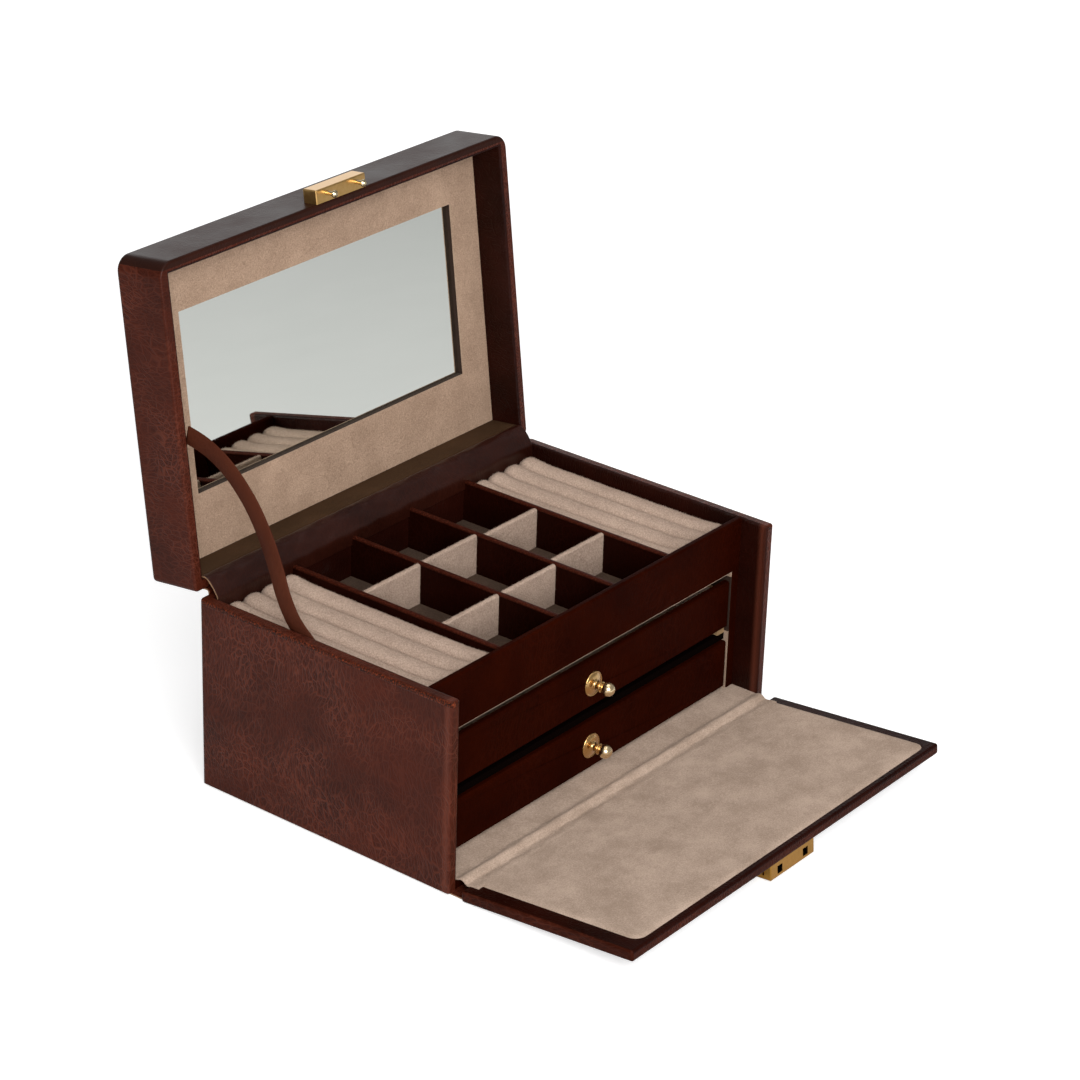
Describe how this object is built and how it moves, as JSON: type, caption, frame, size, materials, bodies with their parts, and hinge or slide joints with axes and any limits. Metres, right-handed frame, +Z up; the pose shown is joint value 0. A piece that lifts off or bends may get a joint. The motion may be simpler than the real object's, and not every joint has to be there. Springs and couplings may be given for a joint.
{
  "type": "jewellery box",
  "caption": "Leather-covered jewellery box with a mirrored lid, a drop-down front flap with a lock, a divided tray with ring rolls and two drawers.",
  "frame": {"origin": "centre of the case's underside, on the surface the box stands on", "axes": "X across the width, +Y towards the lid's hinge at the back, -Y out of the front where the flap lies, +Z up"},
  "size_m": [0.26, 0.3242, 0.2811],
  "materials": {
    "leather": "polished dark red-brown, lightly creased",
    "suede": "matt red-brown",
    "velour": "taupe short pile",
    "board": "raw fibreboard",
    "card": "raw card",
    "brass": "polished and lacquered",
    "steel": "plain",
    "mirror": "silvered"
  },
  "bodies": {
    "case": {"left_side_board": "board", "right_side_board": "board", "back_board": "board", "base_board": "board", "case_leather_cover": "leather", "underside_leather": "leather", "floor_lining": "velour", "left_bay_board": "leather", "right_bay_board": "leather", "bay_side_linings": "velour", "shelf_board": "board", "shelf_lining": "velour", "drawer_runners": "board", "tray_front_panel": "leather", "tray_floor_board": "board", "tray_underside_lining": "velour", "partition_1": "leather", "partition_2": "leather", "partition_3": "leather", "partition_4": "leather", "column_1_dividers": "velour", "column_2_dividers": "velour", "column_3_dividers": "velour", "cell_floor_linings": "velour", "left_ring_rolls": "velour", "right_ring_rolls": "velour"},
    "lid": {"lid_top_board": "board", "lid_left_board": "board", "lid_right_board": "board", "lid_front_board": "board", "lid_back_board": "board", "lid_leather_cover": "leather", "mirror_velour_panel": "velour", "mirror_packing_frame": "card", "mirror_glass": "mirror", "mirror_backing_card": "card", "catch_block": "brass", "catch_prongs": "brass", "lid_strap": "suede", "hinge_lining_leather": "leather", "hinge_spine_leather": "leather"},
    "flap": {"flap_board": "board", "flap_leather_cover": "leather", "flap_velour_pad": "velour", "lock_case": "brass", "flap_hinge_leather": "leather", "flap_hinge_velour": "velour"},
    "latch": {"latch_bar": "brass", "latch_spring": "steel"},
    "upper_drawer": {"upper_drawer_front": "leather", "upper_drawer_walls": "board", "upper_drawer_bottom": "board", "upper_drawer_lining": "velour", "upper_drawer_knob": "brass"},
    "lower_drawer": {"lower_drawer_front": "leather", "lower_drawer_walls": "board", "lower_drawer_bottom": "board", "lower_drawer_lining": "velour", "lower_drawer_knob": "brass"}
  },
  "joints": [
    {"name": "lid_hinge", "type": "hinge", "parent": "case", "child": "lid", "pos_m": [0, 0.08228, 0.1059], "axis": [-1, 0, 0], "range_deg": [-97, 0], "deforming": ["lid_strap", "hinge_lining_leather", "hinge_spine_leather"]},
    {"name": "flap_hinge", "type": "hinge", "parent": "case", "child": "flap", "pos_m": [0, -0.08657, 0.00061], "axis": [1, 0, 0], "range_deg": [-84.77, 0], "deforming": ["flap_hinge_leather", "flap_hinge_velour"]},
    {"name": "upper_drawer_slide", "type": "slide", "parent": "case", "child": "upper_drawer", "axis": [0, -1, 0], "range_m": [0, 0.11]},
    {"name": "lower_drawer_slide", "type": "slide", "parent": "case", "child": "lower_drawer", "axis": [0, -0.9981, 0.061], "range_m": [0, 0.1]},
    {"name": "latch_slide", "type": "slide", "parent": "flap", "child": "latch", "axis": [1, 0, 0], "range_m": [0, 0.0022], "stiffness_N_per_m": 300, "springref_m": -0.001, "deforming": ["latch_spring"]}
  ]
}
